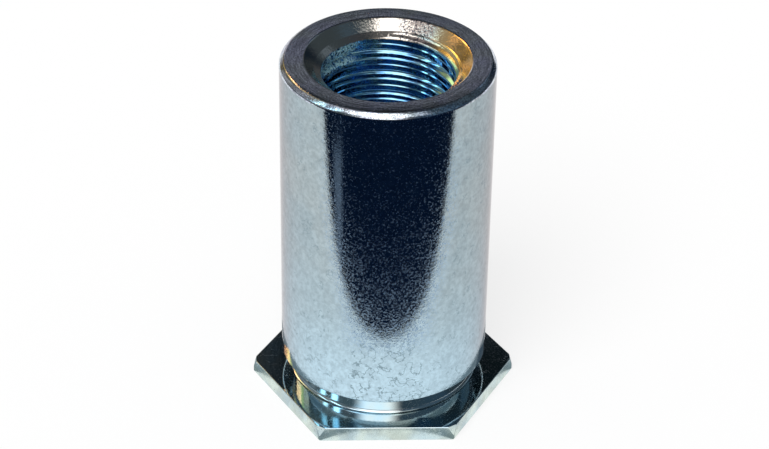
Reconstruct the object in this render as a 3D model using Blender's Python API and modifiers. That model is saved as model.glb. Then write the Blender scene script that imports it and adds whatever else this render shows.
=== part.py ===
"""Self-clinching standoff.

The part is turned and tapped in one piece from hexagon bar. A thin hexagon head is pressed flush into
a sheet, the sheet's metal flows into the groove above the head, and the barrel then stands off the
sheet with a threaded bore that opens at its rim.

The origin is the centre of the head's underside, and +Z runs up the bore to the rim. Lengths are in
metres.
"""

import math

import bmesh
import bpy
from mathutils import Matrix

MM = 0.001

# Lengths along the axis
LENGTH = 12.70 * MM                # underside of the head to the rim
HEAD_THICKNESS = 0.54 * MM
GROOVE_HEIGHT = 0.76 * MM          # top of the head to the lower end of the barrel
COUNTERDRILL_DEPTH = 3.18 * MM     # plain bore below the thread

# The thread, a right-hand number 10 with 32 turns to the inch
THREAD_MAJOR_DIAMETER = 4.83 * MM
THREAD_PITCH = 0.794 * MM
THREAD_ANGLE = math.radians(60)
THREAD_START = 0.63                # share of a pitch by which the groove's start is lowered
CREST_CUT = 0.205 * MM             # how far the tapping drill opens the bore past the basic form

# Walls and steps across the axis, from the thread outwards
COUNTERSINK_WIDTH = 0.34 * MM      # thread's major radius to the countersink's edge on the rim
COUNTERSINK_ANGLE = math.radians(90)
ENTRY_ANGLE = math.radians(114)    # shallow cone from the countersink's foot in to the crests
COUNTERDRILL_CLEARANCE = 0.17 * MM
DRILL_POINT_ANGLE = math.radians(118)
NECK_WALL = 0.535 * MM             # metal between the counterdrill and the bottom of the groove
GROOVE_DEPTH = 0.435 * MM
HEAD_OVERHANG = 0.405 * MM         # barrel to the flats of the hexagon

# Edges
RIM_FILLET = 0.16 * MM
BARREL_EDGE = 0.05 * MM            # bevel at the barrel's lower end
GROOVE_FILLET = 0.15 * MM
HEAD_EDGE = 0.03 * MM
CORNER_TRIM = 0.10 * MM            # how far the lathe takes the hexagon's corners in at the top
CORNER_TRIM_HEIGHT = 0.36 * MM
FACING_STEP = 0.02 * MM            # the turned ring on the head stands this proud
FACING_MARGIN = 0.28 * MM          # edge of the ring to the flats of the hexagon
FOOT_CHAMFER = 0.12 * MM           # at the bore's mouth in the underside

# Facets
OUTSIDE_STEPS = 72
THREAD_STEPS = 48                  # round the bore, and in one turn of the thread
FILLET_STEPS = 4
SHARP_ANGLE = math.radians(32)

# Sizes that follow from those above
PAST = 1.0 * MM                    # how far a cutter runs on into the open
MAJOR_RADIUS = THREAD_MAJOR_DIAMETER / 2
THREAD_FLANK = math.tan(THREAD_ANGLE / 2)
THREAD_HEIGHT = 5 / 16 * THREAD_PITCH / THREAD_FLANK
BORE_RADIUS = MAJOR_RADIUS - THREAD_HEIGHT + CREST_CUT
COUNTERSINK_RADIUS = MAJOR_RADIUS + COUNTERSINK_WIDTH
COUNTERDRILL_RADIUS = MAJOR_RADIUS + COUNTERDRILL_CLEARANCE
NECK_RADIUS = COUNTERDRILL_RADIUS + NECK_WALL
BARREL_RADIUS = NECK_RADIUS + GROOVE_DEPTH
BARREL_FOOT = HEAD_THICKNESS + GROOVE_HEIGHT
FLAT_RADIUS = BARREL_RADIUS + HEAD_OVERHANG
CORNER_RADIUS = FLAT_RADIUS / math.cos(math.pi / 6)


def clear_scene():
    for old in list(bpy.data.objects):
        bpy.data.objects.remove(old, do_unlink=True)
    for old in list(bpy.data.collections):
        bpy.data.collections.remove(old)


def new_collection(name):
    collection = bpy.data.collections.new(name)
    bpy.context.scene.collection.children.link(collection)
    return collection


def add_object(name, bm, collection):
    """Put a finished bmesh into the scene under a name."""
    mesh = bpy.data.meshes.new(name)
    bm.to_mesh(mesh)
    bm.free()
    obj = bpy.data.objects.new(name, mesh)
    collection.objects.link(obj)
    return obj


def add_cutter(name, bm, collection):
    """Add an object that only joins or cuts, and show it as a wire."""
    cutter = add_object(name, bm, collection)
    cutter.hide_render = True
    cutter.display_type = "WIRE"
    return cutter


def arc(centre, radius, start, end):
    """Profile points (r, z) along a fillet, from one angle in degrees to another."""
    points = []
    for step in range(FILLET_STEPS + 1):
        angle = math.radians(start + (end - start) * step / FILLET_STEPS)
        points.append((centre[0] + radius * math.cos(angle), centre[1] + radius * math.sin(angle)))
    return points


def turned_cutter(name, profile, steps, collection):
    """Turn a profile of (r, z) points, listed from the top down, about the Z axis."""
    bm = bmesh.new()
    verts = [bm.verts.new((r, 0, z)) for r, z in profile]
    for upper, lower in zip(verts, verts[1:]):
        bm.edges.new((upper, lower))
    cutter = add_cutter(name, bm, collection)
    screw = cutter.modifiers.new("Turn", "SCREW")
    screw.axis = "Z"
    screw.angle = math.tau
    screw.steps = steps
    screw.render_steps = steps
    screw.use_merge_vertices = True
    screw.merge_threshold = 1e-6
    return cutter


def hexagon_bar(collection):
    """A slice of the bar with its edges just broken, one flat facing the front."""
    bm = bmesh.new()
    bmesh.ops.create_cone(bm, cap_ends=True, segments=6, radius1=CORNER_RADIUS,
                          radius2=CORNER_RADIUS, depth=HEAD_THICKNESS)
    bmesh.ops.rotate(bm, verts=bm.verts, matrix=Matrix.Rotation(math.pi / 6, 3, "Z"))
    bmesh.ops.translate(bm, verts=bm.verts, vec=(0, 0, HEAD_THICKNESS / 2))
    bar = add_object("standoff", bm, collection)
    edges = bar.modifiers.new("Broken edges", "BEVEL")
    edges.width = HEAD_EDGE
    edges.segments = 2
    edges.limit_method = "ANGLE"
    return bar


def corner_taper(collection):
    """The cone that the lathe leaves of the head, with one facet over each corner."""
    slope = CORNER_TRIM / CORNER_TRIM_HEIGHT
    taper_foot = HEAD_THICKNESS - CORNER_TRIM_HEIGHT
    bm = bmesh.new()
    bmesh.ops.create_cone(bm, cap_ends=True, segments=OUTSIDE_STEPS,
                          radius1=CORNER_RADIUS + slope * (taper_foot + PAST),
                          radius2=CORNER_RADIUS - slope * (CORNER_TRIM_HEIGHT + PAST),
                          depth=HEAD_THICKNESS + 2 * PAST)
    bmesh.ops.rotate(bm, verts=bm.verts, matrix=Matrix.Rotation(math.pi / OUTSIDE_STEPS, 3, "Z"))
    bmesh.ops.translate(bm, verts=bm.verts, vec=(0, 0, HEAD_THICKNESS / 2))
    return add_cutter("corner_taper", bm, collection)


def barrel(collection):
    """The turned barrel, its clinching groove and the ring faced on the head."""
    rim_centre = (BARREL_RADIUS - RIM_FILLET, LENGTH - RIM_FILLET)
    ring_top = HEAD_THICKNESS + FACING_STEP
    ring_radius = FLAT_RADIUS - FACING_MARGIN
    groove_centre = (NECK_RADIUS + GROOVE_FILLET, ring_top + GROOVE_FILLET)
    profile = [(0, LENGTH)]
    profile += arc(rim_centre, RIM_FILLET, 90, 0)
    profile += [
        (BARREL_RADIUS, BARREL_FOOT + BARREL_EDGE),
        (BARREL_RADIUS - BARREL_EDGE, BARREL_FOOT),
        (NECK_RADIUS, BARREL_FOOT),
    ]
    profile += arc(groove_centre, GROOVE_FILLET, 180, 270)
    profile += [
        (ring_radius, ring_top),
        (ring_radius + FACING_STEP, HEAD_THICKNESS - FACING_STEP),
        (ring_radius + FACING_STEP, HEAD_THICKNESS / 2),
        (0, HEAD_THICKNESS / 2),
    ]
    return turned_cutter("barrel", profile, OUTSIDE_STEPS, collection)


def bore(collection):
    """Countersink, tapping drill, counterdrill and foot chamfer as one cutter."""
    countersink = math.tan(COUNTERSINK_ANGLE / 2)
    countersink_foot = LENGTH - COUNTERSINK_WIDTH / countersink
    entry_foot = countersink_foot - (MAJOR_RADIUS - BORE_RADIUS) / math.tan(ENTRY_ANGLE / 2)
    drill_point = math.tan(DRILL_POINT_ANGLE / 2)
    profile = [
        (0, LENGTH + PAST),
        (COUNTERSINK_RADIUS + PAST * countersink, LENGTH + PAST),
        (MAJOR_RADIUS, countersink_foot),
        (BORE_RADIUS, entry_foot),
        (BORE_RADIUS, COUNTERDRILL_DEPTH + (COUNTERDRILL_RADIUS - BORE_RADIUS) / drill_point),
        (COUNTERDRILL_RADIUS, COUNTERDRILL_DEPTH),
        (COUNTERDRILL_RADIUS, FOOT_CHAMFER),
        (COUNTERDRILL_RADIUS + FOOT_CHAMFER + PAST, -PAST),
        (0, -PAST),
    ]
    return turned_cutter("bore", profile, THREAD_STEPS, collection)


def thread_groove(collection):
    """The tap's V groove, spun along a right-hand helix from the counterdrill past the rim."""
    start = COUNTERDRILL_DEPTH - (1 + THREAD_START) * THREAD_PITCH
    turns = math.ceil((LENGTH + THREAD_PITCH - start) / THREAD_PITCH)
    root = THREAD_PITCH / 16
    mouth = root + THREAD_HEIGHT * THREAD_FLANK
    inner_radius = MAJOR_RADIUS - THREAD_HEIGHT
    bm = bmesh.new()
    corners = [
        (inner_radius, start - mouth),
        (inner_radius, start + mouth),
        (MAJOR_RADIUS, start + root),
        (MAJOR_RADIUS, start - root),
    ]
    section = bm.faces.new([bm.verts.new((r, 0, z)) for r, z in corners])
    bmesh.ops.spin(bm, geom=section.verts[:] + section.edges[:] + [section], cent=(0, 0, 0),
                   axis=(0, 0, 1), dvec=(0, 0, THREAD_PITCH / THREAD_STEPS),
                   angle=math.tau * turns, steps=THREAD_STEPS * turns)
    half_step = Matrix.Rotation(math.pi / THREAD_STEPS, 3, "Z")
    bmesh.ops.rotate(bm, verts=bm.verts, matrix=half_step)
    return add_cutter("thread_groove", bm, collection)


def apply_boolean(obj, name, operation, cutter):
    boolean = obj.modifiers.new(name, "BOOLEAN")
    boolean.operation = operation
    boolean.solver = "EXACT"
    boolean.object = cutter


def zinc_plate():
    """Bright zinc plate with a clear blue passivation."""
    material = bpy.data.materials.new("zinc_plate")
    material.use_nodes = True
    surface = material.node_tree.nodes["Principled BSDF"]
    surface.inputs["Base Color"].default_value = (0.56, 0.62, 0.68, 1)
    surface.inputs["Metallic"].default_value = 1
    surface.inputs["Roughness"].default_value = 0.24
    material.diffuse_color = (0.56, 0.62, 0.68, 1)
    return material


def smooth_by_angle():
    """Nodes that shade the faces smooth and keep the edges over SHARP_ANGLE sharp."""
    group = bpy.data.node_groups.new("smooth_by_angle", "GeometryNodeTree")
    for in_out in ("INPUT", "OUTPUT"):
        group.interface.new_socket("Mesh", in_out=in_out, socket_type="NodeSocketGeometry")
    start = group.nodes.new("NodeGroupInput")
    end = group.nodes.new("NodeGroupOutput")
    faces = group.nodes.new("GeometryNodeSetShadeSmooth")
    edges = group.nodes.new("GeometryNodeSetShadeSmooth")
    edges.domain = "EDGE"
    edges.inputs["Shade Smooth"].default_value = False
    angle = group.nodes.new("GeometryNodeInputMeshEdgeAngle")
    is_sharp = group.nodes.new("FunctionNodeCompare")
    is_sharp.operation = "GREATER_THAN"
    is_sharp.inputs[1].default_value = SHARP_ANGLE
    group.links.new(start.outputs["Mesh"], faces.inputs["Geometry"])
    group.links.new(faces.outputs["Geometry"], edges.inputs["Geometry"])
    group.links.new(angle.outputs["Unsigned Angle"], is_sharp.inputs[0])
    group.links.new(is_sharp.outputs[0], edges.inputs["Selection"])
    group.links.new(edges.outputs["Geometry"], end.inputs["Mesh"])
    return group


def standoff():
    parts = new_collection("self_clinching_standoff")
    cutters = new_collection("cutters")
    body = hexagon_bar(parts)
    apply_boolean(body, "Trim corners", "INTERSECT", corner_taper(cutters))
    apply_boolean(body, "Turn barrel", "UNION", barrel(cutters))
    apply_boolean(body, "Drill bore", "DIFFERENCE", bore(cutters))
    apply_boolean(body, "Tap thread", "DIFFERENCE", thread_groove(cutters))
    shading = body.modifiers.new("Smooth by angle", "NODES")
    shading.node_group = smooth_by_angle()
    body.data.materials.append(zinc_plate())
    return body


clear_scene()
standoff()
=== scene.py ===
# %% [markdown]
# # A self-clinching standoff
#
# The real part is turned and tapped in one piece from hexagon steel bar and then zinc plated. This
# lesson builds its visible surface a second time, finer than the solid that carries its size, and
# gives each zone of that surface the finish that the lathe, the tap and the plating left on it.

# %% Load the frame
import math

import bmesh
import bpy
from mathutils import Matrix, Vector


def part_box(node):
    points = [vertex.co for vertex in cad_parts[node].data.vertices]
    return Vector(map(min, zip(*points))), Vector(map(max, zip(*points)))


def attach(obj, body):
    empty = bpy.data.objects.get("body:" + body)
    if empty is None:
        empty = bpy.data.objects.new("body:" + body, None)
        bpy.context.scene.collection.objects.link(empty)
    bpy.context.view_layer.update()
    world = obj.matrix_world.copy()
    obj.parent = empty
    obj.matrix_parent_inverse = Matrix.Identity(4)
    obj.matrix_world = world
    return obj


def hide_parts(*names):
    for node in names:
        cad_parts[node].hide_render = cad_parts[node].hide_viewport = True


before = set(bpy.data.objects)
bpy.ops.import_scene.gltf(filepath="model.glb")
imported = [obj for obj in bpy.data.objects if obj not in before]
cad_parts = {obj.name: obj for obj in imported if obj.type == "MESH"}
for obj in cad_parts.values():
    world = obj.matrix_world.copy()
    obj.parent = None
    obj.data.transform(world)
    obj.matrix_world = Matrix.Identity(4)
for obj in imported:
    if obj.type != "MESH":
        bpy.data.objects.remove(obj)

scene = bpy.context.scene
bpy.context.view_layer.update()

# %% [markdown]
# ## Sizes
#
# The overall sizes come from the solid itself, so the visible surface can't drift away from it. The
# others repeat the drawing of the part: the head, the groove that the sheet's metal flows into, the
# countersunk rim and the thread. All lengths are in metres, written as millimetres.

# %% Sizes from the solid
MM = 0.001
low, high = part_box("standoff")
LENGTH = high.z - low.z
FLAT_RADIUS = (high.y - low.y) / 2
CORNER_RADIUS = FLAT_RADIUS / math.cos(math.pi / 6)
print("length", LENGTH, "across flats", 2 * FLAT_RADIUS)

# %% Sizes of the head and the groove
HEAD_THICKNESS = 0.54 * MM
HEAD_OVERHANG = 0.405 * MM
BARREL_RADIUS = FLAT_RADIUS - HEAD_OVERHANG
BARREL_FOOT = HEAD_THICKNESS + 0.76 * MM
BARREL_EDGE = 0.05 * MM
NECK_RADIUS = BARREL_RADIUS - 0.435 * MM
GROOVE_FILLET = 0.15 * MM
CORNER_TRIM = 0.10 * MM
CORNER_TRIM_HEIGHT = 0.36 * MM
HEAD_EDGE = 0.03 * MM
HEAD_EDGE_SEGMENTS = 9
RIM_CHAMFER = 0.16 * MM
RIM_ROUNDING = 0.14 * MM
print("barrel", 2 * BARREL_RADIUS, "neck", 2 * NECK_RADIUS, "foot at", BARREL_FOOT)

# %% Sizes of the bore and its thread
MAJOR_RADIUS = 4.83 / 2 * MM
PITCH = 0.794 * MM
FLANK = math.tan(math.radians(30))
THREAD_HEIGHT = 5 / 16 * PITCH / FLANK
CREST_CUT = 0.205 * MM
BORE_RADIUS = MAJOR_RADIUS - THREAD_HEIGHT + CREST_CUT
COUNTERSINK_WIDTH = 0.34 * MM
COUNTERSINK_RADIUS = MAJOR_RADIUS + COUNTERSINK_WIDTH
COUNTERSINK_EDGE = 0.12 * MM
ENTRY_CONE = math.tan(math.radians(57))
COUNTERDRILL_RADIUS = MAJOR_RADIUS + 0.17 * MM
COUNTERDRILL_DEPTH = 3.18 * MM
DRILL_POINT = math.tan(math.radians(59))
FOOT_CHAMFER = 0.12 * MM
THREAD_START = 0.63
PAST = 1.0 * MM
print("thread", 2 * MAJOR_RADIUS, "crests", 2 * BORE_RADIUS, "countersink", 2 * COUNTERSINK_RADIUS)

# %% [markdown]
# ## The turned shapes
#
# A lathe makes a shape from one profile, so a profile and Blender's Screw modifier are the natural
# way to make the barrel and the bore. Rounded edges are short arcs in the profile. The steps round
# the axis are many, because polished metal shows every flat in its reflections.

# %% Helpers for objects and arcs
OUTSIDE_STEPS = 180
BORE_STEPS = 120
THREAD_STEPS = 90
ARC_STEPS = 6
FOOT_STEPS = 9
GROOVE_STEPS = 10
CREST_STEPS = 7
SHARP_OVER = 11.5
WELD = 1e-6

pieces = bpy.data.collections.new("self_clinching_standoff")
scene.collection.children.link(pieces)


def add_object(name, bm):
    """Turn a bmesh into an object of the standoff's collection."""
    mesh = bpy.data.meshes.new(name)
    bm.to_mesh(mesh)
    bm.free()
    obj = bpy.data.objects.new(name, mesh)
    pieces.objects.link(obj)
    print(name, len(mesh.vertices), "vertices")
    return obj


def arc(centre, radius, start, end, steps=ARC_STEPS):
    """Profile points (r, z) from one angle in degrees to another."""
    turns = [math.radians(start + (end - start) * step / steps) for step in range(steps + 1)]
    return [(centre[0] + radius * math.cos(t), centre[1] + radius * math.sin(t)) for t in turns]


def turned(name, profile, steps):
    """Turn a profile of (r, z) points, listed from the top down, about the Z axis."""
    bm = bmesh.new()
    verts = [bm.verts.new((r, 0, z)) for r, z in profile]
    for upper, lower in zip(verts, verts[1:]):
        bm.edges.new((upper, lower))
    obj = add_object(name, bm)
    screw = obj.modifiers.new("Turn", "SCREW")
    screw.axis = "Z"
    screw.steps = steps
    screw.render_steps = steps
    screw.use_merge_vertices = True
    screw.merge_threshold = WELD
    return obj


# %% The barrel and the groove
def barrel_blank():
    """The rim's two roundings, the barrel, its foot, the groove and a stub inside the head."""
    round_back = RIM_ROUNDING * math.tan(math.radians(22.5))
    upper_round = (BARREL_RADIUS - RIM_CHAMFER - round_back, LENGTH - RIM_ROUNDING)
    lower_round = (BARREL_RADIUS - RIM_ROUNDING, LENGTH - RIM_CHAMFER - round_back)
    foot = (BARREL_RADIUS - BARREL_EDGE, BARREL_FOOT + BARREL_EDGE)
    neck = (NECK_RADIUS + GROOVE_FILLET, HEAD_THICKNESS + GROOVE_FILLET)
    profile = [(0, LENGTH)]
    profile += arc(upper_round, RIM_ROUNDING, 90, 45) + arc(lower_round, RIM_ROUNDING, 45, 0)
    profile += arc(foot, BARREL_EDGE, 0, -90, FOOT_STEPS)
    profile += [(NECK_RADIUS, BARREL_FOOT)]
    profile += arc(neck, GROOVE_FILLET, 180, 270, GROOVE_STEPS)
    profile += [(neck[0], HEAD_THICKNESS / 2), (0, HEAD_THICKNESS / 2)]
    return turned("barrel_blank", profile, OUTSIDE_STEPS)


# %% The countersink, the tapping drill and the counterdrill as one cutter
LIP_START = 92


def bore_cutter():
    """The lip's arc starts a little past upright, so it crosses the rim's plane cleanly."""
    round_back = COUNTERSINK_EDGE * math.tan(math.radians(22.5))
    lip = (COUNTERSINK_RADIUS + round_back, LENGTH - COUNTERSINK_EDGE)
    countersink_foot = LENGTH - COUNTERSINK_WIDTH
    drill_top = COUNTERDRILL_DEPTH + (COUNTERDRILL_RADIUS - BORE_RADIUS) / DRILL_POINT
    profile = [(0, LENGTH + PAST), (lip[0], LENGTH + PAST)]
    profile += arc(lip, COUNTERSINK_EDGE, LIP_START, 135)
    profile += [
        (MAJOR_RADIUS, countersink_foot),
        (BORE_RADIUS, countersink_foot - (MAJOR_RADIUS - BORE_RADIUS) / ENTRY_CONE),
        (BORE_RADIUS, drill_top),
        (COUNTERDRILL_RADIUS, COUNTERDRILL_DEPTH),
        (COUNTERDRILL_RADIUS, FOOT_CHAMFER),
        (COUNTERDRILL_RADIUS + FOOT_CHAMFER + PAST, -PAST),
        (0, -PAST),
    ]
    return turned("bore_cutter", profile, BORE_STEPS)


# %% [markdown]
# ## The thread
#
# A tap that presses the thread in, and doesn't cut it, pushes metal up from both sides of each crest.
# The two sides meet in a fine seam along the middle of the crest, and the root is left in a wide
# sweep. The tap's section is drawn once and spun up the bore along a helix, one small step at a
# time. It starts in the counterdrill and runs out past the rim, so both of its ends are in the open.

# %% [markdown]
# The section's sizes come first. Those that say past, inside, reach or shy only keep its ends clear
# of the faces that it cuts, because a Boolean works best where no two faces lie on each other.

# %% Sizes of the tap's section
STEEP = math.cos(math.pi / 6)
CREST_FILLET = 0.12 * MM
CREST_UNDERSIDE = 0.05 * MM
CREST_LEAN = 8
UPPER_REACH = 0.006 * MM
LOWER_REACH = 0.008 * MM
ROOT_SWEEP = 0.235 * MM
ROOT_TOP = 0.045 * MM
ROOT_LEAN = 12
FLANK_SHY = 0.02 * MM
SEAM_DEPTH = 0.022 * MM
SEAM_WIDTH = 0.06 * MM
SEAM_PAST = 0.02 * MM
UPPER_INSIDE = 0.06 * MM
LOWER_INSIDE = 0.09 * MM
THREAD_TURN = 0.0211
print("seam", SEAM_WIDTH, "wide and", SEAM_DEPTH, "deep")


# %% The tap's section
def flank_height(radius):
    """Height of a flank over or under the groove's middle."""
    return PITCH / 16 + (MAJOR_RADIUS - radius) * FLANK


def crest_rounding(fillet, reach):
    """From the crest's face round to the groove's upper flank."""
    centre = (BORE_RADIUS + fillet, flank_height(BORE_RADIUS + fillet) + fillet / STEEP)
    points = arc(centre, fillet, 180 + CREST_LEAN, 240, CREST_STEPS)
    run_on = (points[0][0] - BORE_RADIUS + reach) / math.tan(math.radians(CREST_LEAN))
    return [(BORE_RADIUS - reach, points[0][1] + run_on)] + points


def tap_section(middle):
    """Listed from the seam down: the crest's underside, the root, the flank and the next crest."""
    seam = PITCH / 2
    half_width = SEAM_WIDTH / 2 * (1 + SEAM_PAST / SEAM_DEPTH)
    upper = crest_rounding(CREST_UNDERSIDE, UPPER_REACH)
    lower = [(r, -z) for r, z in reversed(crest_rounding(CREST_FILLET, LOWER_REACH))]
    lean = math.radians(ROOT_LEAN)
    root = (MAJOR_RADIUS - ROOT_SWEEP * math.cos(lean), ROOT_TOP + ROOT_SWEEP * math.sin(lean))
    points = [
        (BORE_RADIUS - SEAM_PAST, seam + half_width),
        (BORE_RADIUS + SEAM_DEPTH, seam),
        (BORE_RADIUS - SEAM_PAST, seam - half_width),
        (BORE_RADIUS - UPPER_INSIDE, seam - half_width),
        (BORE_RADIUS - UPPER_INSIDE, upper[0][1]),
    ]
    points += upper
    points.append((MAJOR_RADIUS - FLANK_SHY, flank_height(MAJOR_RADIUS - FLANK_SHY)))
    points += arc(root, ROOT_SWEEP, -ROOT_LEAN, -60, CREST_STEPS)
    points += lower
    points += [
        (BORE_RADIUS - LOWER_INSIDE, lower[-1][1]),
        (BORE_RADIUS - LOWER_INSIDE, seam + half_width),
    ]
    return [(r, middle + z) for r, z in points]


# %% The tap as a cutter
def thread_cutter():
    """Its small turn keeps its edges off the barrel's own, which helps the Boolean."""
    start = COUNTERDRILL_DEPTH - (1 + THREAD_START) * PITCH
    turns = math.ceil((LENGTH + PITCH - start) / PITCH)
    bm = bmesh.new()
    section = bm.faces.new([bm.verts.new((r, 0, z)) for r, z in tap_section(start)])
    bmesh.ops.spin(bm, geom=section.verts[:] + section.edges[:] + [section], cent=(0, 0, 0),
                   axis=(0, 0, 1), dvec=(0, 0, PITCH / THREAD_STEPS),
                   angle=math.tau * turns, steps=THREAD_STEPS * turns)
    bmesh.ops.rotate(bm, verts=bm.verts, matrix=Matrix.Rotation(THREAD_TURN, 3, "Z"))
    bmesh.ops.recalc_face_normals(bm, faces=bm.faces)
    return add_object("thread_cutter", bm)


# %% [markdown]
# ## The hexagon and the finished body
#
# The head is a slice of the bar. The lathe takes its top corners in a little, which an intersection
# with a shallow cone gives. Booleans then do what the machine did: join the barrel, drill the bore
# and tap the thread.

# %% The hexagon head
TAPER_TURN = 0.0107


def hexagon_head():
    """A slice of the bar with its edges broken a little."""
    bm = bmesh.new()
    bmesh.ops.create_cone(bm, cap_ends=True, segments=6, radius1=CORNER_RADIUS,
                          radius2=CORNER_RADIUS, depth=HEAD_THICKNESS)
    bmesh.ops.rotate(bm, verts=bm.verts, matrix=Matrix.Rotation(math.pi / 6, 3, "Z"))
    bmesh.ops.translate(bm, verts=bm.verts, vec=(0, 0, HEAD_THICKNESS / 2))
    head = add_object("zinc_plated_body", bm)
    edges = head.modifiers.new("Broken edges", "BEVEL")
    edges.width = HEAD_EDGE
    edges.segments = HEAD_EDGE_SEGMENTS
    edges.limit_method = "ANGLE"
    return head


def corner_taper():
    """The shallow cone that the head's top corners are turned to."""
    slope = CORNER_TRIM / CORNER_TRIM_HEIGHT
    taper_foot = HEAD_THICKNESS - CORNER_TRIM_HEIGHT
    bm = bmesh.new()
    bmesh.ops.create_cone(bm, cap_ends=True, segments=OUTSIDE_STEPS,
                          radius1=CORNER_RADIUS + slope * (taper_foot + PAST),
                          radius2=CORNER_RADIUS - slope * (CORNER_TRIM_HEIGHT + PAST),
                          depth=HEAD_THICKNESS + 2 * PAST)
    bmesh.ops.translate(bm, verts=bm.verts, vec=(0, 0, HEAD_THICKNESS / 2))
    bmesh.ops.rotate(bm, verts=bm.verts, matrix=Matrix.Rotation(TAPER_TURN, 3, "Z"))
    return add_object("corner_taper", bm)


# %% Join, drill and tap
def machine(body, steps):
    """Run the Booleans in order and keep their result as the body's own mesh."""
    for operation, cutter in steps:
        boolean = body.modifiers.new(cutter.name, "BOOLEAN")
        boolean.operation = operation
        boolean.solver = "EXACT"
        boolean.object = cutter
    cut = body.evaluated_get(bpy.context.evaluated_depsgraph_get())
    body.data = bpy.data.meshes.new_from_object(cut)
    body.modifiers.clear()
    for _, cutter in steps:
        bpy.data.objects.remove(cutter)
    return body


body = machine(hexagon_head(), [
    ("INTERSECT", corner_taper()),
    ("UNION", barrel_blank()),
    ("DIFFERENCE", bore_cutter()),
    ("DIFFERENCE", thread_cutter()),
])
body.data.shade_smooth()
body.data.set_sharp_from_angle(angle=math.radians(SHARP_OVER))
even = body.modifiers.new("Even shading", "WEIGHTED_NORMAL")
even.keep_sharp = True
body.data.calc_loop_triangles()
print("triangles", len(body.data.loop_triangles))

# %% [markdown]
# ## Nodes in plain steps
#
# Every finish below is procedural: it is worked out from the place on the part, so it needs no
# pictures. These helpers keep the node trees readable. Each one adds a node, connects what it is
# given and hands back its output.

# %% Helpers for node trees
def connect(tree, value, socket):
    """Link another node's output, or set a plain value."""
    if isinstance(value, bpy.types.NodeSocket):
        tree.links.new(value, socket)
    else:
        socket.default_value = value


def calculate(tree, operation, *values):
    """A Math node."""
    node = tree.nodes.new("ShaderNodeMath")
    node.operation = operation
    for value, socket in zip(values, node.inputs):
        connect(tree, value, socket)
    return node.outputs["Value"]


def times(tree, first, *others):
    """The product of all the values."""
    for other in others:
        first = calculate(tree, "MULTIPLY", first, other)
    return first


def plus(tree, first, *others):
    """The sum of all the values."""
    for other in others:
        first = calculate(tree, "ADD", first, other)
    return first


def rescale(tree, value, low, high, to_low=0.0, to_high=1.0):
    """Stretch the range low to high over to_low to to_high, and hold the ends."""
    node = tree.nodes.new("ShaderNodeMapRange")
    node.interpolation_type = "SMOOTHSTEP"
    for given, socket in zip((value, low, high, to_low, to_high), node.inputs):
        connect(tree, given, socket)
    return node.outputs["Result"]


def blend_colours(tree, factor, first, second, blend_type="MIX"):
    """A Mix node for colours."""
    node = tree.nodes.new("ShaderNodeMix")
    node.data_type = "RGBA"
    node.blend_type = blend_type
    connect(tree, factor, node.inputs["Factor"])
    connect(tree, first, node.inputs["A"])
    connect(tree, second, node.inputs["B"])
    return node.outputs["Result"]


def noise(tree, vector, scale, detail=2.0, roughness=0.5):
    """A Noise Texture; scale is in features per millimetre on this part."""
    node = tree.nodes.new("ShaderNodeTexNoise")
    connect(tree, vector, node.inputs["Vector"])
    connect(tree, scale, node.inputs["Scale"])
    node.inputs["Detail"].default_value = detail
    node.inputs["Roughness"].default_value = roughness
    return node.outputs["Fac"]


def combine(tree, x, y, z):
    """Three values as one vector."""
    node = tree.nodes.new("ShaderNodeCombineXYZ")
    for value, socket in zip((x, y, z), node.inputs):
        connect(tree, value, socket)
    return node.outputs["Vector"]


def shaded(tree, colour, value):
    """A colour made darker or brighter by a value."""
    return blend_colours(tree, 1.0, colour, combine(tree, value, value, value), "MULTIPLY")


def new_group(name, inputs, outputs):
    """A node group with named sockets: each entry is a name, a socket type and a default."""
    group = bpy.data.node_groups.new(name, "ShaderNodeTree")
    for label, kind, default in inputs:
        socket = group.interface.new_socket(label, in_out="INPUT", socket_type=kind)
        socket.default_value = default
    for label, kind in outputs:
        group.interface.new_socket(label, in_out="OUTPUT", socket_type=kind)
    print("node group", name, "gives", [label for label, _ in outputs])
    return group, group.nodes.new("NodeGroupInput").outputs, group.nodes.new("NodeGroupOutput").inputs


def place(tree, group, **values):
    """Put a group into a tree; keyword names are socket names with _ for a space."""
    node = tree.nodes.new("ShaderNodeGroup")
    node.node_tree = group
    for name, value in values.items():
        connect(tree, value, node.inputs[name.replace("_", " ")])
    return node.outputs


FLOAT = "NodeSocketFloat"
COLOR = "NodeSocketColor"
VECTOR = "NodeSocketVector"

# %% [markdown]
# ## Where a point is on the lathe
#
# Marks from turning follow the part's axis, so the useful coordinates are the distance from the
# axis, the height and the direction round it. The direction is kept as a cosine and a sine, because
# an angle would jump at its seam and leave a line down the part. Cosine is 1 on the right and Sine
# is 1 at the back. Lengths are in millimetres here, which keeps the numbers of the finishes short.

# %% Node group: lathe coordinates
lathe, _, out = new_group("Lathe coordinates", [], [
    ("Position", VECTOR), ("Radius", FLOAT), ("Height", FLOAT), ("Cosine", FLOAT), ("Sine", FLOAT)])
here = lathe.nodes.new("ShaderNodeTexCoord").outputs["Object"]
millimetres = lathe.nodes.new("ShaderNodeVectorMath")
millimetres.operation = "SCALE"
millimetres.inputs["Scale"].default_value = 1 / MM
lathe.links.new(here, millimetres.inputs[0])
axes = lathe.nodes.new("ShaderNodeSeparateXYZ")
lathe.links.new(millimetres.outputs[0], axes.inputs[0])
x, y, z = axes.outputs
radius = calculate(lathe, "SQRT", plus(lathe, times(lathe, x, x), times(lathe, y, y)))
connect(lathe, millimetres.outputs[0], out["Position"])
connect(lathe, radius, out["Radius"])
connect(lathe, z, out["Height"])
connect(lathe, calculate(lathe, "DIVIDE", x, radius), out["Cosine"])
connect(lathe, calculate(lathe, "DIVIDE", y, radius), out["Sine"])

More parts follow.
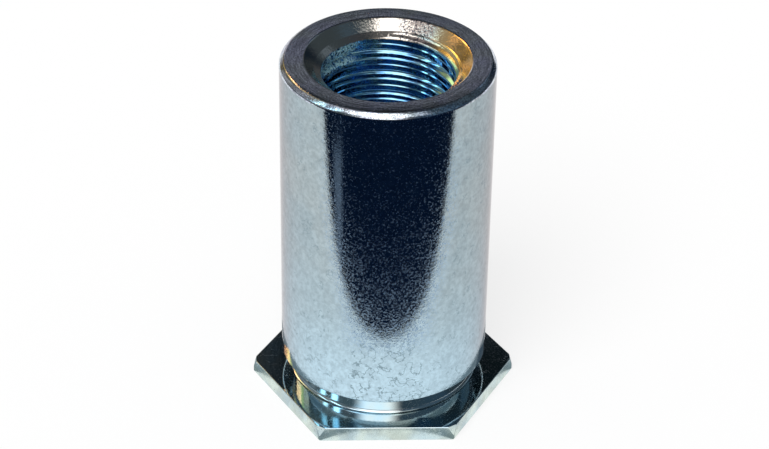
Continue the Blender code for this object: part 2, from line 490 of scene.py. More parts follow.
# %% [markdown]
# ## Effects that several finishes share
#
# A lathe's tool leaves fine rings, zinc grows in small crystals, the clear blue film over it is
# thicker in some patches, and handling scratches both. Each of these is a node group, built once.
# A finish places it with its own sizes, as a plater would treat one part in several baths.

# %% Node group: turning marks
MARKS_SHARE = 0.7
FINE_SHARE = 0.3
FINER = 2.7
turning, given, out = new_group("Turning marks", [
    ("Across", FLOAT, 0.0), ("Cosine", FLOAT, 0.0), ("Sine", FLOAT, 0.0),
    ("Spacing", FLOAT, 0.1), ("Length", FLOAT, 3.0)], [("Height", FLOAT), ("Scratches", FLOAT)])
steps = calculate(turning, "DIVIDE", given["Across"], given["Spacing"])
around_x = times(turning, given["Cosine"], given["Length"])
around_y = times(turning, given["Sine"], given["Length"])
track = combine(turning, around_x, around_y, steps)
marks = noise(turning, track, 1.0, detail=3.0, roughness=0.6)
fine = noise(turning, track, FINER, detail=1.0)
both = plus(turning, times(turning, marks, MARKS_SHARE), times(turning, fine, FINE_SHARE))
connect(turning, both, out["Height"])
connect(turning, rescale(turning, fine, 0.60, 0.74), out["Scratches"])

# %% Node group: plating grain
SPECKS_FINENESS = 0.9
PITS_FINENESS = 0.6
MOTTLE_FINENESS = 0.12
grain, given, out = new_group("Plating grain", [
    ("Position", VECTOR, (0.0, 0.0, 0.0)), ("Grain size", FLOAT, 0.08)],
    [("Height", FLOAT), ("Specks", FLOAT), ("Pits", FLOAT), ("Mottle", FLOAT)])
fineness = calculate(grain, "DIVIDE", 1.0, given["Grain size"])
pebbles = noise(grain, given["Position"], fineness, detail=2.0, roughness=0.55)
specks = noise(grain, given["Position"], times(grain, fineness, SPECKS_FINENESS), detail=2.0)
pits = noise(grain, given["Position"], times(grain, fineness, PITS_FINENESS), detail=1.0)
mottle = noise(grain, given["Position"], times(grain, fineness, MOTTLE_FINENESS), detail=3.0)
connect(grain, pebbles, out["Height"])
connect(grain, rescale(grain, specks, 0.50, 0.68), out["Specks"])
connect(grain, rescale(grain, pits, 0.72, 0.80), out["Pits"])
connect(grain, rescale(grain, mottle, 0.35, 0.65), out["Mottle"])

# %% Node group: passivation tint
passivation, given, out = new_group("Passivation tint", [
    ("Position", VECTOR, (0.0, 0.0, 0.0)), ("Patch size", FLOAT, 2.0),
    ("Thin film", COLOR, (0.45, 0.58, 0.66, 1.0)), ("Thick film", COLOR, (0.50, 0.56, 0.60, 1.0))],
    [("Color", COLOR)])
patches = noise(passivation, given["Position"],
                calculate(passivation, "DIVIDE", 1.0, given["Patch size"]), detail=2.0)
thickness = rescale(passivation, patches, 0.35, 0.65)
connect(passivation, blend_colours(passivation, thickness, given["Thin film"], given["Thick film"]),
        out["Color"])

# %% Node group: hairline marks
WANDER_FINENESS = 2.2
WHERE_FINENESS = 1.7
MARK_FADE = 0.05
hairlines, given, out = new_group("Hairline marks", [
    ("Position", VECTOR, (0.0, 0.0, 0.0)), ("Length", FLOAT, 0.5), ("Width", FLOAT, 0.03),
    ("Sparseness", FLOAT, 0.55)], [("Mask", FLOAT)])
coarse = calculate(hairlines, "DIVIDE", 1.0, given["Length"])
wander = noise(hairlines, given["Position"], times(hairlines, coarse, WANDER_FINENESS), detail=3.0)
where = noise(hairlines, given["Position"], times(hairlines, coarse, WHERE_FINENESS), detail=1.0)
off_line = calculate(hairlines, "ABSOLUTE", calculate(hairlines, "SUBTRACT", wander, 0.5))
line = rescale(hairlines, off_line, 0.0, given["Width"], 1.0, 0.0)
limit = plus(hairlines, given["Sparseness"], MARK_FADE)
chosen = rescale(hairlines, where, given["Sparseness"], limit)
connect(hairlines, times(hairlines, line, chosen), out["Mask"])


# %% Helpers for a plated metal
MICRON = 1e-6


def plated(name, anisotropy=0.0):
    """A metal with its own Principled shader; returns the tree, the shader and coordinates."""
    material = bpy.data.materials.new(name)
    material.use_nodes = True
    tree = material.node_tree
    shader = tree.nodes["Principled BSDF"]
    shader.inputs["Metallic"].default_value = 1.0
    shader.inputs["Anisotropic"].default_value = anisotropy
    if anisotropy:
        tangent = tree.nodes.new("ShaderNodeTangent")
        tangent.direction_type = "RADIAL"
        tangent.axis = "Z"
        tree.links.new(tangent.outputs["Tangent"], shader.inputs["Tangent"])
    print("material", name)
    return material, tree, shader, place(tree, lathe)


def relief(tree, height, depth, before=None):
    """A Bump node; depth is the real height of the marks in metres."""
    node = tree.nodes.new("ShaderNodeBump")
    node.inputs["Distance"].default_value = depth
    connect(tree, height, node.inputs["Height"])
    if before:
        tree.links.new(before, node.inputs["Normal"])
    return node.outputs["Normal"]


# %% [markdown]
# ## The barrel's satin plate
#
# The barrel is the turned side of the bar under bright zinc. Its colour turns bluer and brighter
# towards the foot, and brighter still at the front of the foot: painted reflection of the bright
# floor close to the part. Its right side is made a little darker, as painted shade. Handling leaves
# hairlines, which are wrinkled together at the front of the foot. A node for each of these is easier
# to adjust than one busy texture, so the colour is built up in layers, from the film to the marks on it.

# %% Barrel: grain, ripples and hairlines
SOFT_EDGE_TINT = (0.80, 0.74, 0.74, 1.0)
RIPPLES_PER_MM = 6.0
WRINKLED_HEIGHTS = (4.4, 3.4)
WRINKLED_SIDES = (-0.90, -0.97)
barrel_plate, tree, shader, at = plated("satin_barrel_plate")
shader.inputs["Specular Tint"].default_value = SOFT_EDGE_TINT
skin = place(tree, grain, Position=at["Position"], Grain_size=0.05)
ripples = noise(tree, at["Position"], RIPPLES_PER_MM, detail=3.0, roughness=0.65)
streaks = place(tree, turning, Across=at["Height"], Cosine=at["Cosine"], Sine=at["Sine"],
                Spacing=0.05, Length=9.0)
wrinkled = times(tree, rescale(tree, at["Height"], *WRINKLED_HEIGHTS),
                 rescale(tree, at["Sine"], *WRINKLED_SIDES))
marks = place(tree, hairlines, Position=at["Position"], Length=0.62, Width=0.040,
              Sparseness=rescale(tree, wrinkled, 0.0, 1.0, 0.58, 0.42))
darkness = rescale(tree, wrinkled, 0.0, 1.0, 0.5, 0.8)

# %% Barrel: colour
THIN_FILM = (0.40, 0.475, 0.50, 1.0)
THICK_FILM = (0.37, 0.46, 0.50, 1.0)
FOOT_FLOOR_REFLECTION = (0.42, 0.555, 0.625, 1.0)
FRONT_FOOT_FLOOR_REFLECTION = (0.50, 0.68, 0.785, 1.0)
HAIRLINE_COLOUR = (0.16, 0.24, 0.28, 1.0)
PIT_COLOUR = (0.12, 0.20, 0.24, 1.0)
PIT_STRENGTH = 0.35
film = place(tree, passivation, Position=at["Position"], Patch_size=2.0,
             Thin_film=THIN_FILM, Thick_film=THICK_FILM)
# Painted reflection: towards the foot the colour turns bluer and brighter, and at the front of the foot brighter
# still, where the barrel mirrors the bright floor close to it.
low_reflection_mask = rescale(tree, at["Height"], 9.0, 2.0)
front_reflection_mask = times(tree, rescale(tree, at["Height"], 5.0, 1.5), rescale(tree, at["Sine"], -0.2, -0.85))
with_low_reflection = blend_colours(tree, low_reflection_mask, film["Color"], FOOT_FLOOR_REFLECTION)
with_front_reflection = blend_colours(tree, front_reflection_mask, with_low_reflection, FRONT_FOOT_FLOOR_REFLECTION)
# Painted shade: the right side, away from the lamp, is made up to a tenth darker.
right_side_painted_shade = rescale(tree, at["Cosine"], 0.25, 0.60, 1.0, 0.90)
cloud = rescale(tree, skin["Mottle"], 0.0, 1.0, 0.96, 1.04)
fleck = rescale(tree, ripples, 0.32, 0.68, 0.90, 1.12)
mottled = shaded(tree, with_front_reflection, times(tree, right_side_painted_shade, cloud, fleck))
scored = blend_colours(tree, times(tree, marks["Mask"], darkness), mottled, HAIRLINE_COLOUR)
pitted = blend_colours(tree, times(tree, skin["Pits"], PIT_STRENGTH), scored, PIT_COLOUR)

# %% [markdown]
# ## Frost and painted glints down the barrel's front
#
# The front of the real barrel mirrors something dark, and there its fine crystals show as pale blue
# specks. Their roughness is the crystals' own; their pale blue colour is painted glints, kept to the
# tongue where the dark mat is mirrored. They grow denser towards the foot. A fine noise with a soft
# threshold gives the crystals. Two masks, one round the barrel and one along it, keep them to the front.

# %% Barrel: frost and painted glints
CRYSTALS_PER_MM = 15.0
FROST_AND_GLINT_COLOUR = (0.39, 0.57, 0.77, 1.0)
FROST_AND_GLINT_SIDES = (-0.74, -0.86)
FROST_AND_GLINT_FOOT = (3.0, 4.2)
FROST_AND_GLINT_DENSITY = (0.51, 0.70)
crystals = noise(tree, at["Position"], CRYSTALS_PER_MM, detail=3.0, roughness=0.75)
more_below = rescale(tree, at["Height"], 11.5, 6.0, 0.0, 0.07)
narrowing_with_reflection = rescale(tree, at["Height"], 9.5, 3.4, 0.0, 0.13)
front = times(tree, rescale(tree, plus(tree, at["Sine"], narrowing_with_reflection), *FROST_AND_GLINT_SIDES),
              rescale(tree, at["Height"], *FROST_AND_GLINT_FOOT))
# Partly real crystals, partly painted glints: pale blue specks in the colour, kept to the tongue where the barrel
# mirrors the dark mat.
frost_and_glints = times(tree, front, rescale(tree, plus(tree, crystals, more_below), *FROST_AND_GLINT_DENSITY))
connect(tree, blend_colours(tree, frost_and_glints, pitted, FROST_AND_GLINT_COLOUR), shader.inputs["Base Color"])

# %% Barrel: gloss and relief
SCRATCH_DULLNESS = 0.05
FROST_DULLNESS = 0.32
gloss = plus(tree, rescale(tree, skin["Specks"], 0.0, 1.0, 0.045, 0.10),
             times(tree, streaks["Scratches"], SCRATCH_DULLNESS))
connect(tree, plus(tree, gloss, times(tree, frost_and_glints, FROST_DULLNESS)), shader.inputs["Roughness"])
bumps = relief(tree, skin["Height"], 1.3 * MICRON)
bumps = relief(tree, ripples, 3.0 * MICRON, bumps)
connect(tree, relief(tree, streaks["Height"], 0.3 * MICRON, bumps), shader.inputs["Normal"])

# %% [markdown]
# ## The head's upper face and the groove
#
# These faces are turned with a sharp tool and stay bright, so they mirror the room almost cleanly.
# Anisotropy round the axis stretches highlights as turned rings do. The only marks are thin
# hairlines, which are a little duller than the metal between them.

# %% Head and groove
HEAD_THIN_FILM = (0.51, 0.66, 0.75, 1.0)
HEAD_THICK_FILM = (0.60, 0.66, 0.66, 1.0)
HAIRLINE_DULLNESS = 0.25
head_plate, tree, shader, at = plated("bright_turned_head", anisotropy=0.2)
skin = place(tree, grain, Position=at["Position"], Grain_size=0.07)
rings = place(tree, turning, Across=at["Radius"], Cosine=at["Cosine"], Sine=at["Sine"],
              Spacing=0.12, Length=2.0)
marks = place(tree, hairlines, Position=at["Position"], Length=0.9, Width=0.012, Sparseness=0.54)
film = place(tree, passivation, Position=at["Position"], Patch_size=1.2,
             Thin_film=HEAD_THIN_FILM, Thick_film=HEAD_THICK_FILM)
connect(tree, film["Color"], shader.inputs["Base Color"])
connect(tree, plus(tree, rescale(tree, skin["Specks"], 0.0, 1.0, 0.05, 0.11),
                   times(tree, marks["Mask"], HAIRLINE_DULLNESS)), shader.inputs["Roughness"])
bumps = relief(tree, skin["Height"], 0.25 * MICRON)
connect(tree, relief(tree, rings["Height"], 0.8 * MICRON, bumps), shader.inputs["Normal"])

# %% [markdown]
# ## The rim
#
# The rim is faced off across the end of the bar. The tool's fine rings run round it, so they are
# drawn twice: as light and dark lines in the film, and in relief.

# %% Rim
RIM_THIN_FILM = (0.50, 0.54, 0.66, 1.0)
RIM_THICK_FILM = (0.50, 0.55, 0.58, 1.0)
rim_plate, tree, shader, at = plated("faced_rim", anisotropy=0.2)
skin = place(tree, grain, Position=at["Position"], Grain_size=0.05)
rings = place(tree, turning, Across=at["Radius"], Cosine=at["Cosine"], Sine=at["Sine"],
              Spacing=0.08, Length=5.0)
film = place(tree, passivation, Position=at["Position"], Patch_size=1.0,
             Thin_film=RIM_THIN_FILM, Thick_film=RIM_THICK_FILM)
ring_shade = rescale(tree, rings["Height"], 0.36, 0.62, 0.70, 1.28)
speck_shade = rescale(tree, skin["Height"], 0.36, 0.64, 0.62, 1.38)
connect(tree, shaded(tree, film["Color"], times(tree, ring_shade, speck_shade)),
        shader.inputs["Base Color"])
connect(tree, rescale(tree, skin["Specks"], 0.0, 1.0, 0.12, 0.26), shader.inputs["Roughness"])
bumps = relief(tree, skin["Height"], 1.4 * MICRON)
connect(tree, relief(tree, rings["Height"], 1.6 * MICRON, bumps), shader.inputs["Normal"])

# %% [markdown]
# ## The countersink and the bore
#
# Down in the real bore the film is a strong blue. A pale teal patch at the upper left of the mouth is
# painted light, where more light reaches into the bore. On the countersink the film is thin: warm grey,
# and pocked as where a tool chatters. Its straw colour on the right is partly the film's own tint and
# partly painted reflection of the warm panels. One material serves both, because the film's end is
# soft, and a seam between two materials would show. Masks by height and direction tell the places apart.

# %% Bore: masks
LIT_PATCH_LEFT = (-0.30, -0.60)
LIT_PATCH_BACK = (0.15, 0.50)
LIT_PATCH_HEIGHTS = (LENGTH / MM - 1.45, LENGTH / MM - 1.1)
FILM_ENDS_LEFT = LENGTH / MM - 0.50
FILM_ENDS_RIGHT = LENGTH / MM - 0.57
FILM_FADE = 0.03
CHATTER_PER_MM = 13.0
bore_plate, tree, shader, at = plated("tapped_bore_plate")
skin = place(tree, grain, Position=at["Position"], Grain_size=0.07)
streaks = place(tree, turning, Across=at["Height"], Cosine=at["Cosine"], Sine=at["Sine"],
                Spacing=0.05, Length=4.0)
film_edge = rescale(tree, at["Cosine"], -0.35, 0.1, FILM_ENDS_LEFT, FILM_ENDS_RIGHT)
cone = rescale(tree, calculate(tree, "SUBTRACT", at["Height"], film_edge), -FILM_FADE, FILM_FADE)
chatter = noise(tree, at["Position"], CHATTER_PER_MM, detail=2.0, roughness=0.6)
chattered = times(tree, rescale(tree, at["Cosine"], 0.12, 0.24), rescale(tree, at["Cosine"], 0.66, 0.52),
                  rescale(tree, at["Sine"], 0.0, 0.3))
pocks = times(tree, chattered, rescale(tree, chatter, 0.49, 0.56))
# Painted light: a paler teal patch at the upper left of the mouth, where more light reaches into the bore.
upper_left = times(tree, rescale(tree, at["Cosine"], *LIT_PATCH_LEFT), rescale(tree, at["Sine"], *LIT_PATCH_BACK))
lit_patch = times(tree, upper_left, rescale(tree, at["Height"], *LIT_PATCH_HEIGHTS),
              rescale(tree, chatter, 0.42, 0.56, 0.15, 1.0))
# The cone's right side is coloured straw: partly the film's own tint, partly painted reflection of the warm panels
# behind on the left.
straw_and_warm_reflection = times(tree, rescale(tree, at["Cosine"], 0.55, 0.85), rescale(tree, at["Sine"], -0.5, 0.0))

# %% Bore: colour
BORE_THIN_FILM = (0.14, 0.36, 0.68, 1.0)
BORE_THICK_FILM = (0.32, 0.58, 0.70, 1.0)
PAINTED_LIGHT_PATCH_COLOUR = (0.42, 0.70, 0.76, 1.0)
BARE_CONE = (0.66, 0.60, 0.54, 1.0)
STRAW_FILM_AND_WARM_REFLECTION = (0.95, 0.72, 0.36, 1.0)
POCK_COLOUR = (0.16, 0.15, 0.16, 1.0)
film = place(tree, passivation, Position=at["Position"], Patch_size=0.5,
             Thin_film=BORE_THIN_FILM, Thick_film=BORE_THICK_FILM)
with_lit_patch = blend_colours(tree, lit_patch, film["Color"], PAINTED_LIGHT_PATCH_COLOUR)
tinted_cone = blend_colours(tree, straw_and_warm_reflection, BARE_CONE, STRAW_FILM_AND_WARM_REFLECTION)
turned_cone = blend_colours(tree, pocks, tinted_cone, POCK_COLOUR)
connect(tree, blend_colours(tree, cone, with_lit_patch, turned_cone), shader.inputs["Base Color"])

# %% Bore: gloss and relief
# Painted light: the patch is also less metallic and duller, so it catches more of the soft light.
LIT_PATCH_METAL = 0.55
LIT_PATCH_DULLNESS = 0.30
CONE_DEPTH = 4.0
dulled = times(tree, calculate(tree, "SUBTRACT", 1.0, cone), lit_patch)
connect(tree, rescale(tree, dulled, 0.0, 1.0, 1.0, LIT_PATCH_METAL), shader.inputs["Metallic"])
connect(tree, plus(tree, rescale(tree, skin["Specks"], 0.0, 1.0, 0.05, 0.17),
                   times(tree, dulled, LIT_PATCH_DULLNESS)), shader.inputs["Roughness"])
deeper = plus(tree, times(tree, cone, CONE_DEPTH), 1.0)
bumps = relief(tree, times(tree, skin["Height"], deeper), 1.4 * MICRON)
connect(tree, relief(tree, times(tree, streaks["Height"], deeper), 0.6 * MICRON, bumps),
        shader.inputs["Normal"])

# %% [markdown]
# ## The hexagon's sides and the underside
#
# These faces are still the drawn bar's own skin under the zinc. It is duller than a turned face and
# slightly uneven, so its roughness is higher and its film has soft clouds.

# %% Hexagon's sides and underside
BAR_THIN_FILM = (0.55, 0.69, 0.73, 1.0)
BAR_THICK_FILM = (0.66, 0.76, 0.70, 1.0)
flat_plate, tree, shader, at = plated("hexagon_bar_plate")
skin = place(tree, grain, Position=at["Position"], Grain_size=0.09)
film = place(tree, passivation, Position=at["Position"], Patch_size=1.0,
             Thin_film=BAR_THIN_FILM, Thick_film=BAR_THICK_FILM)
cloud = rescale(tree, skin["Mottle"], 0.0, 1.0, 0.86, 1.08)
connect(tree, shaded(tree, film["Color"], cloud), shader.inputs["Base Color"])
connect(tree, rescale(tree, skin["Specks"], 0.0, 1.0, 0.24, 0.38), shader.inputs["Roughness"])
connect(tree, relief(tree, skin["Height"], 2.0 * MICRON), shader.inputs["Normal"])

# %% [markdown]
# ## Which face gets which finish
#
# The body is one mesh, so its finishes are told apart by place: how high a face is and how far out
# it reaches. That stays true when a size changes, which a list of face numbers wouldn't.

# %% Give each zone its finish
finishes = [barrel_plate, head_plate, rim_plate, bore_plate, flat_plate]
BARREL, HEAD, RIM, BORE, FLATS = range(5)
SLACK = 0.01 * MM
LEVEL = 0.9


def zone(face):
    """A ring's centre lies on the axis, so the corners say how far out a face is."""
    height = face.center.z
    reach = max(body.data.vertices[corner].co.xy.length for corner in face.vertices)
    if height > LENGTH - SLACK and face.normal.z > LEVEL:
        return RIM
    if reach < COUNTERSINK_RADIUS + COUNTERSINK_EDGE and height > SLACK:
        return BORE
    if height > LENGTH - RIM_CHAMFER - RIM_ROUNDING / 2:
        return RIM
    if height > BARREL_FOOT + SLACK:
        return BARREL
    if height > HEAD_THICKNESS - 2 * SLACK:
        return HEAD
    return FLATS


body.data.materials.clear()
for finish in finishes:
    body.data.materials.append(finish)
counts = [0] * len(finishes)
for face in body.data.polygons:
    face.material_index = zone(face)
    counts[face.material_index] += 1
print("faces", {finish.name: count for finish, count in zip(finishes, counts)})
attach(body, "root")
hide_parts("standoff")

# %% [markdown]
# ## The floor and the world
#
# The photo's background is white. White paper lit only until it looks white would need more light
# than the metal can bear, so the paper glows a little for the camera and for mirrors, and still
# keeps the object's shadow. The world does the same. The paper lies a hair below the underside, and
# shows from above only, so that the underside can be looked at from below.

# %% The floor
def plane(name, corners):
    """A flat sheet with the given corners."""
    mesh = bpy.data.meshes.new(name)
    mesh.from_pydata(corners, [], [range(len(corners))])
    obj = bpy.data.objects.new(name, mesh)
    scene.collection.objects.link(obj)
    return obj


FLOOR_REACH = 1.5
FLOOR_HEIGHT = -0.01 * MM
floor = plane("floor", [(x * FLOOR_REACH, y * FLOOR_REACH, FLOOR_HEIGHT)
                        for x, y in ((-1, -1), (1, -1), (1, 1), (-1, 1))])
print("floor", 2 * FLOOR_REACH, "across")


# %% White paper
def seen_directly(tree):
    """1 for rays from the camera and for rays that metal or glass sends on."""
    rays = tree.nodes.new("ShaderNodeLightPath").outputs
    sharp = calculate(tree, "MAXIMUM", rays["Is Glossy Ray"], rays["Is Transmission Ray"])
    return calculate(tree, "MAXIMUM", rays["Is Camera Ray"], sharp)


PAPER_COLOUR = (0.92, 0.92, 0.92, 1.0)
PAPER_GLOW = 0.72
paper = bpy.data.materials.new("white_paper")
paper.use_nodes = True
tree = paper.node_tree
sheet = tree.nodes["Principled BSDF"]
sheet.inputs["Base Color"].default_value = PAPER_COLOUR
sheet.inputs["Roughness"].default_value = 0.9
sheet.inputs["Specular IOR Level"].default_value = 0.0
white = tree.nodes.new("ShaderNodeEmission")
mixed = tree.nodes.new("ShaderNodeMixShader")
connect(tree, times(tree, seen_directly(tree), PAPER_GLOW), mixed.inputs["Fac"])
tree.links.new(sheet.outputs[0], mixed.inputs[1])
tree.links.new(white.outputs[0], mixed.inputs[2])
one_sided = tree.nodes.new("ShaderNodeMixShader")
connect(tree, tree.nodes.new("ShaderNodeNewGeometry").outputs["Backfacing"], one_sided.inputs["Fac"])
tree.links.new(mixed.outputs[0], one_sided.inputs[1])
tree.links.new(tree.nodes.new("ShaderNodeBsdfTransparent").outputs[0], one_sided.inputs[2])
tree.links.new(one_sided.outputs[0], tree.nodes["Material Output"].inputs["Surface"])
floor.data.materials.append(paper)

# %% The world
WHITE = (1.0, 1.0, 1.0, 1.0)
SOFT_LIGHT = 0.5
world = bpy.data.worlds.new("studio")
scene.world = world
world.use_nodes = True
tree = world.node_tree
soft = tree.nodes["Background"]
soft.inputs["Color"].default_value = WHITE
soft.inputs["Strength"].default_value = SOFT_LIGHT
wall = tree.nodes.new("ShaderNodeBackground")
wall.inputs["Color"].default_value = WHITE
mixed = tree.nodes.new("ShaderNodeMixShader")
connect(tree, seen_directly(tree), mixed.inputs["Fac"])
tree.links.new(soft.outputs[0], mixed.inputs[1])
tree.links.new(wall.outputs[0], mixed.inputs[2])
tree.links.new(mixed.outputs[0], tree.nodes["World Output"].inputs["Surface"])
print("soft light", SOFT_LIGHT)

# %% [markdown]
# ## The studio that the metal mirrors
#
# Bright metal has little colour of its own: nearly all that is seen on it is the room. So the room is
# drawn as one dome of soft panels, each with a place, a size and a colour. Only reflections see it. It
# lights nothing and throws no shadow. Azimuth 0 is the camera's side, and it grows to the right. A
# panel that reaches behind the part uses an azimuth from 0 to 360, so that it has no seam there.

# %% Helpers for things that only reflections see
def reflector(obj):
    """It lights nothing, hides nothing and throws no shadow; returns its tree and its glow."""
    material = bpy.data.materials.new(obj.name)
    material.use_nodes = True
    tree = material.node_tree
    tree.nodes.remove(tree.nodes["Principled BSDF"])
    glow = tree.nodes.new("ShaderNodeEmission")
    tree.links.new(glow.outputs[0], tree.nodes["Material Output"].inputs["Surface"])
    obj.data.materials.append(material)
    obj.visible_camera = False
    obj.visible_diffuse = False
    obj.visible_transmission = False
    obj.visible_shadow = False
    print("only reflections see", obj.name)
    return tree, glow


# %% Node group: directions in the studio
directions, _, out = new_group("Studio directions", [], [
    ("Azimuth", FLOAT), ("Azimuth from behind", FLOAT), ("Elevation", FLOAT)])
here = directions.nodes.new("ShaderNodeTexCoord").outputs["Object"]
unit = directions.nodes.new("ShaderNodeVectorMath")
unit.operation = "NORMALIZE"
directions.links.new(here, unit.inputs[0])
axes = directions.nodes.new("ShaderNodeSeparateXYZ")
directions.links.new(unit.outputs[0], axes.inputs[0])
x, y, z = axes.outputs
azimuth = calculate(directions, "DEGREES",
                    calculate(directions, "ARCTAN2", x, times(directions, y, -1.0)))
elevation = calculate(directions, "DEGREES", calculate(directions, "ARCSINE", z))
connect(directions, azimuth, out["Azimuth"])
connect(directions, calculate(directions, "FLOORED_MODULO", azimuth, 360.0), out["Azimuth from behind"])
connect(directions, elevation, out["Elevation"])

# %% Node group: soft panel
soft_panel, given, out = new_group("Soft panel", [
    ("Azimuth", FLOAT, 0.0), ("Elevation", FLOAT, 0.0), ("Left", FLOAT, -30.0), ("Right", FLOAT, 30.0),
    ("Bottom", FLOAT, 10.0), ("Top", FLOAT, 60.0), ("Softness", FLOAT, 4.0), ("Slope", FLOAT, 0.0)],
    [("Mask", FLOAT)])


def edge(value, place_of_edge, inside, outside):
    """A soft step at one edge of the panel."""
    start = calculate(soft_panel, "SUBTRACT", place_of_edge, given["Softness"])
    end = plus(soft_panel, place_of_edge, given["Softness"])
    return rescale(soft_panel, value, start, end, inside, outside)


sideways = times(soft_panel, edge(given["Azimuth"], given["Left"], 0.0, 1.0),
                 edge(given["Azimuth"], given["Right"], 1.0, 0.0))
middle = times(soft_panel, plus(soft_panel, given["Left"], given["Right"]), 0.5)
climb = times(soft_panel, given["Slope"], calculate(soft_panel, "SUBTRACT", given["Azimuth"], middle))
level = calculate(soft_panel, "SUBTRACT", given["Elevation"], climb)
upright = times(soft_panel, edge(level, given["Bottom"], 0.0, 1.0), edge(level, given["Top"], 1.0, 0.0))
connect(soft_panel, times(soft_panel, sideways, upright), out["Mask"])

# %% [markdown]
# ## The panels
#
# A product photographer builds a look with panels, one at a time, and so does this list. Each row
# says left, right, bottom and top in degrees, how soft the edges are, how much the panel climbs with
# each degree to the right, and its light. A later row lies over the ones before it. The bright
# softboxes give the white patch on the countersink and the flare on the head, the strips give the
# head's blue streaks, and the gold and olive ones behind on the left give the warm patches.

# %% The panels
DARK_ROOM = (0.05, 0.06, 0.075)
ALL_ROUND = "ceiling"
FRONT_ENDS = 110
PANELS = [
    (ALL_ROUND, -200, 200, 77, 100, 2.5, 0, (0.16, 0.165, 0.17)),
    ("right_dusk", 20, 100, 0, 58, 8, 0, (0.06, 0.10, 0.14)),
    ("right_night", 85, 150, 18, 58, 6, 0, (0.05, 0.07, 0.085)),
    ("black_corner", 132, 160, -5, 26, 4, 0, (0.010, 0.018, 0.030)),
    ("right_gloom", 28, 80, 60, 77, 5, 0, (0.03, 0.045, 0.055)),
    ("right_falloff", 20, 50, 48, 60, 5, 0, (0.60, 0.66, 0.68)),
    ("left_fill", -92, -45, 44, 74, 5, 0, (0.42, 0.38, 0.40)),
    ("left_shade", -60, -28, 2, 42, 4, 0, (0.14, 0.17, 0.18)),
    ("left_wall", -108, -56, 2, 36, 4, 0, (0.22, 0.24, 0.24)),
    ("left_strip", -88, -80, 26, 48, 2, 0, (2.0, 2.9, 3.2)),
    ("second_left_strip", -70, -61, 26, 51, 2, 0, (2.2, 3.2, 3.6)),
    ("high_left_strip", -79, -65, 54, 58, 1.5, 0, (1.7, 1.7, 1.7)),
    ("beige_wall", -112, -88, 37, 54, 4, 0, (0.34, 0.30, 0.24)),
    ("softbox_foot", -32, 14, 8, 50, 10, 0, (2.1, 2.05, 2.05)),
    ("softbox_rim", -52, 24, 47, 61, 5, 0, (2.6, 2.6, 2.6)),
    ("softbox", -39, 26, 61, 74, 4, 0, (2.6, 2.6, 2.6)),
    ("pink_line", 184, 200, 6, 24, 3, 0, (0.70, 0.64, 0.62)),
    ("low_pink", 194, 209, -6, 11, 3, 0, (0.56, 0.52, 0.50)),
    ("pale_corner", 209, 222, -6, 10, 3, 0, (0.42, 0.40, 0.38)),
    ("olive_corner", 214, 230, 6, 18, 3, 0.7, (0.12, 0.09, 0.04)),
    ("grey_wall", 222, 262, 12, 28, 3, 0.7, (0.36, 0.35, 0.34)),
    ("gold_wall", 208, 245, 24, 45, 2.5, 0.75, (0.66, 0.46, 0.18)),
    ("gold_lamp", 218, 232, 31, 42, 2.5, 0.75, (2.2, 1.75, 0.62)),
    ("olive_lamp", 232, 246, 35.5, 38.6, 0.8, 0, (2.6, 1.7, 1.1)),
    ("warm_streak", 205, 224, 37.4, 41, 0.7, 0, (9.0, 4.0, 1.8)),
    ("dim_horizon", 150, 210, 26, 35.0, 0.8, 0, (0.20, 0.20, 0.23)),
    ("low_horizon", 150, 185, 12, 29.9, 1.0, 0, (0.085, 0.094, 0.100)),
    ("black_flag", 182, 200, 36, 62, 0.8, 0, (0.030, 0.034, 0.034)),
    ("blacker_flag", 162, 182, 36, 62, 0.8, 0, (0.004, 0.008, 0.010)),
    ("back_right_glow", 122, 156, 34, 43, 3, 0, (0.15, 0.20, 0.25)),
]
DOME_RADIUS = 0.30
DOME_FOOT = -0.05
shell = bpy.data.meshes.new("studio_dome")
bm = bmesh.new()
bmesh.ops.create_uvsphere(bm, u_segments=64, v_segments=32, radius=DOME_RADIUS)
bmesh.ops.delete(bm, geom=[v for v in bm.verts if v.co.z < DOME_FOOT], context="VERTS")
bm.to_mesh(shell)
bm.free()
dome = bpy.data.objects.new("studio_dome", shell)
scene.collection.objects.link(dome)
tree, glow = reflector(dome)
towards = place(tree, directions)
colour = (*DARK_ROOM, 1.0)
for name, left, right, bottom, top, softness, slope, light in PANELS:
    reaches_behind = right > FRONT_ENDS and name != ALL_ROUND
    azimuth = towards["Azimuth from behind" if reaches_behind else "Azimuth"]
    mask = place(tree, soft_panel, Azimuth=azimuth, Elevation=towards["Elevation"], Left=left,
                 Right=right, Bottom=bottom, Top=top, Softness=softness, Slope=slope)
    colour = blend_colours(tree, mask["Mask"], colour, (*light, 1.0))
connect(tree, colour, glow.inputs["Color"])
print("panels", len(PANELS))

# %% [markdown]
# ## What lies on the floor
#
# The navy tongue down the real barrel is a dark mat in front of it, mirrored, and the paler stripe
# along its left edge is a fold in that mat. A narrow soft shadow lies close round the head, which the
# head's own mirror shows. Thin sheets just over the floor give all three, for reflections only.

# %% The dark mat
MAT_EDGE = -8.9 * MM
MAT_HEIGHT = 0.05 * MM
MAT_REACH = 0.4
MAT_COLOUR = (0.003, 0.010, 0.030, 1.0)
front = plane("dark_mat", [(-MAT_REACH, -MAT_REACH, MAT_HEIGHT), (MAT_REACH, -MAT_REACH, MAT_HEIGHT),
                           (MAT_REACH, MAT_EDGE, MAT_HEIGHT), (-MAT_REACH, MAT_EDGE, MAT_HEIGHT)])
tree, glow = reflector(front)
glow.inputs["Color"].default_value = MAT_COLOUR

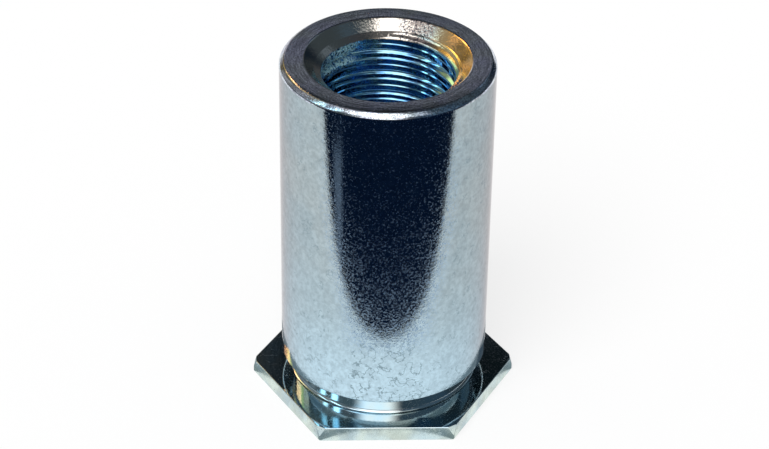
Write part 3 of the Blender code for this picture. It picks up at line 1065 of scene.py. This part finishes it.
# %% A lighter fold in the mat
FOLD = [(-9.2, -8.95), (-8.5, -8.95), (-15.5, -14.5), (-17.5, -11.8)]
FOLD_COLOUR = (0.14, 0.18, 0.25, 1.0)
tree, glow = reflector(plane("mat_fold", [(x * MM, y * MM, 2 * MAT_HEIGHT) for x, y in FOLD]))
glow.inputs["Color"].default_value = FOLD_COLOUR

# %% The shadow at the foot
SHADOW_INNER = 4.54 * MM
SHADOW_OUTER = 5.02 * MM
SHADOW_HEIGHT = 0.04 * MM
SHADOW_COLOUR = (0.26, 0.31, 0.33, 1.0)
SHADOW_STEPS = 64


def flat_ring(name, inner, outer, height, steps):
    """A level ring of four-sided faces."""
    turns = [math.tau * step / steps for step in range(steps)]
    verts = [(r * math.cos(t), r * math.sin(t), height) for r in (inner, outer) for t in turns]
    faces = [(i, (i + 1) % steps, (i + 1) % steps + steps, i + steps) for i in range(steps)]
    mesh = bpy.data.meshes.new(name)
    mesh.from_pydata(verts, [], faces)
    obj = bpy.data.objects.new(name, mesh)
    scene.collection.objects.link(obj)
    return obj


tree, glow = reflector(flat_ring("foot_shadow", SHADOW_INNER, SHADOW_OUTER, SHADOW_HEIGHT, SHADOW_STEPS))
glow.inputs["Color"].default_value = SHADOW_COLOUR

# %% [markdown]
# ## The lamp and the camera
#
# One wide sun from the front and upper left gives the floor its shadow and lights the dull share of
# the metal. Mirrors don't see it. The camera stands where a fit of the part's outline in the photo puts it, so the
# part's edges fall on the photo's.

# %% Lamp
KEY_STRENGTH = 2.3
KEY_WIDTH = 40
KEY_TILT = 32
KEY_LEAN = -18
lamp = bpy.data.lights.new("key", "SUN")
lamp.energy = KEY_STRENGTH
lamp.angle = math.radians(KEY_WIDTH)
key = bpy.data.objects.new("key", lamp)
key.rotation_euler = (math.radians(KEY_TILT), math.radians(KEY_LEAN), 0)
key.visible_glossy = False
scene.collection.objects.link(key)
print("key lamp", KEY_STRENGTH)

# %% Camera
CAMERA_PLACE = (-2.758, -66.653, 51.041)
LOOKS_DOWN = 33.911
HEADING = -2.343
ROLL = 0.970
SENSOR = 36
FOCAL_LENGTH = 110.744
lens = bpy.data.cameras.new("camera")
lens.sensor_width = SENSOR
lens.lens = FOCAL_LENGTH
lens.clip_start = 0.005
lens.clip_end = 10
camera = bpy.data.objects.new("camera", lens)
heading = Matrix.Rotation(math.radians(HEADING), 4, "Z")
tilt = Matrix.Rotation(math.radians(90 - LOOKS_DOWN), 4, "X")
roll = Matrix.Rotation(math.radians(ROLL), 4, "Z")
camera.matrix_world = Matrix.Translation(Vector(CAMERA_PLACE) * MM) @ heading @ tilt @ roll
scene.collection.objects.link(camera)
scene.camera = camera
scene.view_settings.view_transform = "Standard"
print("camera", (Vector(CAMERA_PLACE) * MM).length, "m from the part")
